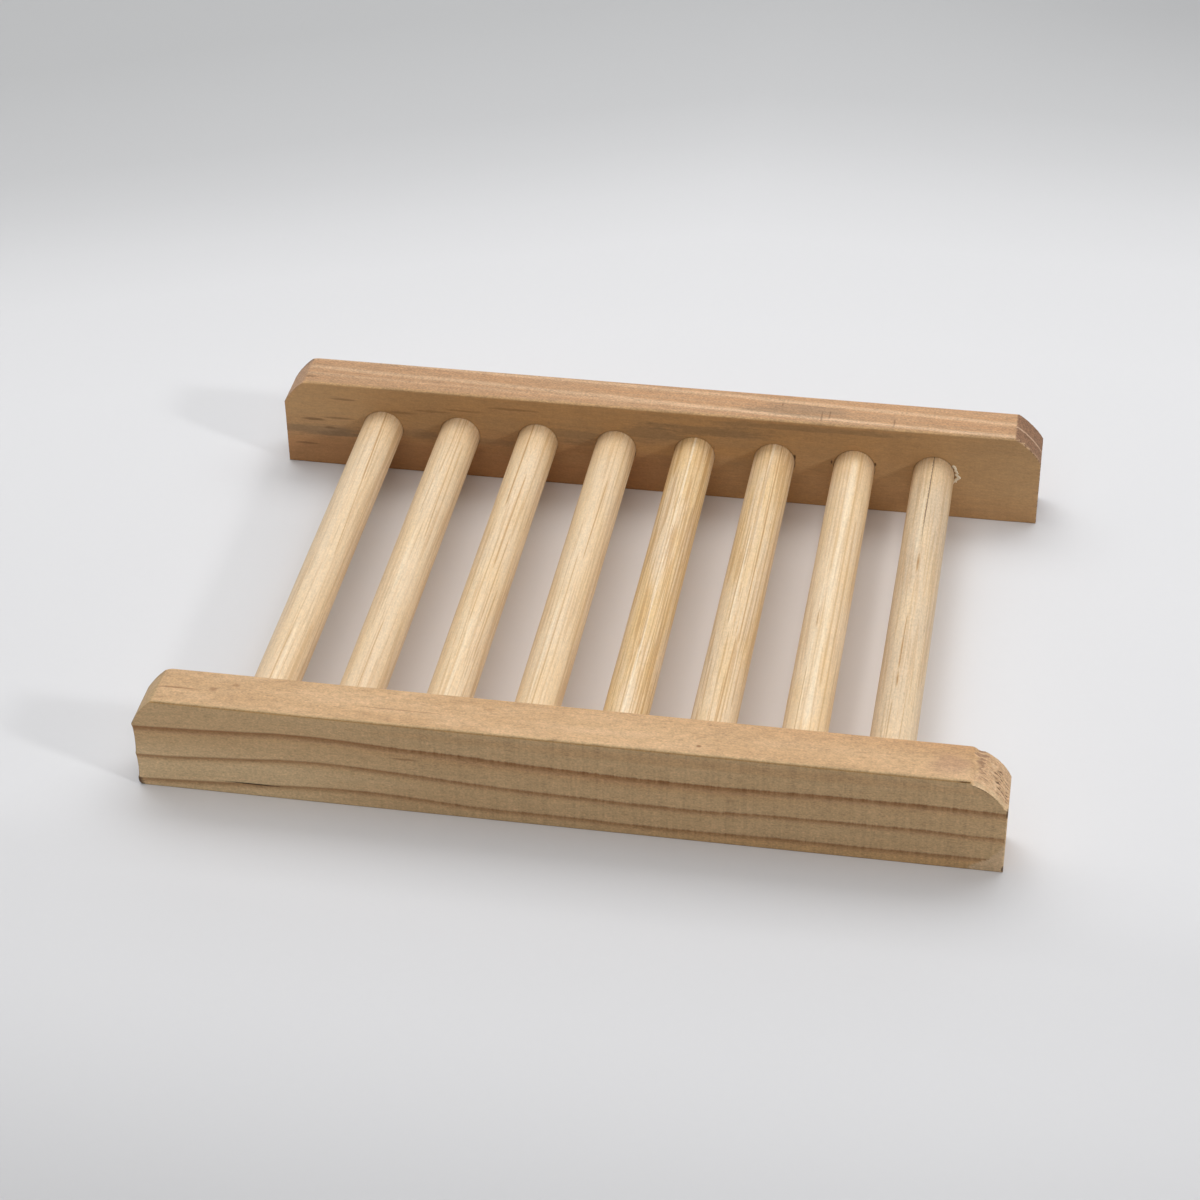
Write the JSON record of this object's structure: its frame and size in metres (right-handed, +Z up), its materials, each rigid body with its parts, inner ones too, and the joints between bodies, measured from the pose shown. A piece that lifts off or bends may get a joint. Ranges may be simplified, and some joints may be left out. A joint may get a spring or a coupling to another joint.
{
  "type": "soap dish",
  "caption": "Slatted wooden soap dish: parallel rails on edge, joined by a row of round dowels with gaps that let water drain.",
  "frame": {"origin": "on the surface that the dish stands on, at the middle of its length and width", "axes": "+X along the rails to the right, +Y from the front rail to the back rail, +Z up"},
  "size_m": [0.12, 0.09, 0.0152],
  "materials": {
    "front_rail_wood": "sawn and sanded softwood, bare, with brown ring lines along its faces",
    "back_rail_wood": "sawn and sanded softwood, bare, a shade darker, with grey stain streaks",
    "dowel_wood": "turned pale cream wood, bare, with fine brown grain along it",
    "set_glue": "set wood glue, dull cream"
  },
  "bodies": {
    "root": {"front_rail": "front_rail_wood", "back_rail": "back_rail_wood", "dowel_1": "dowel_wood", "dowel_2": "dowel_wood", "dowel_3": "dowel_wood", "dowel_4": "dowel_wood", "dowel_5": "dowel_wood", "dowel_6": "dowel_wood", "dowel_7": "dowel_wood", "dowel_8": "dowel_wood", "front_socket_glue": "set_glue", "back_socket_glue": "set_glue"}
  },
  "joints": []
}
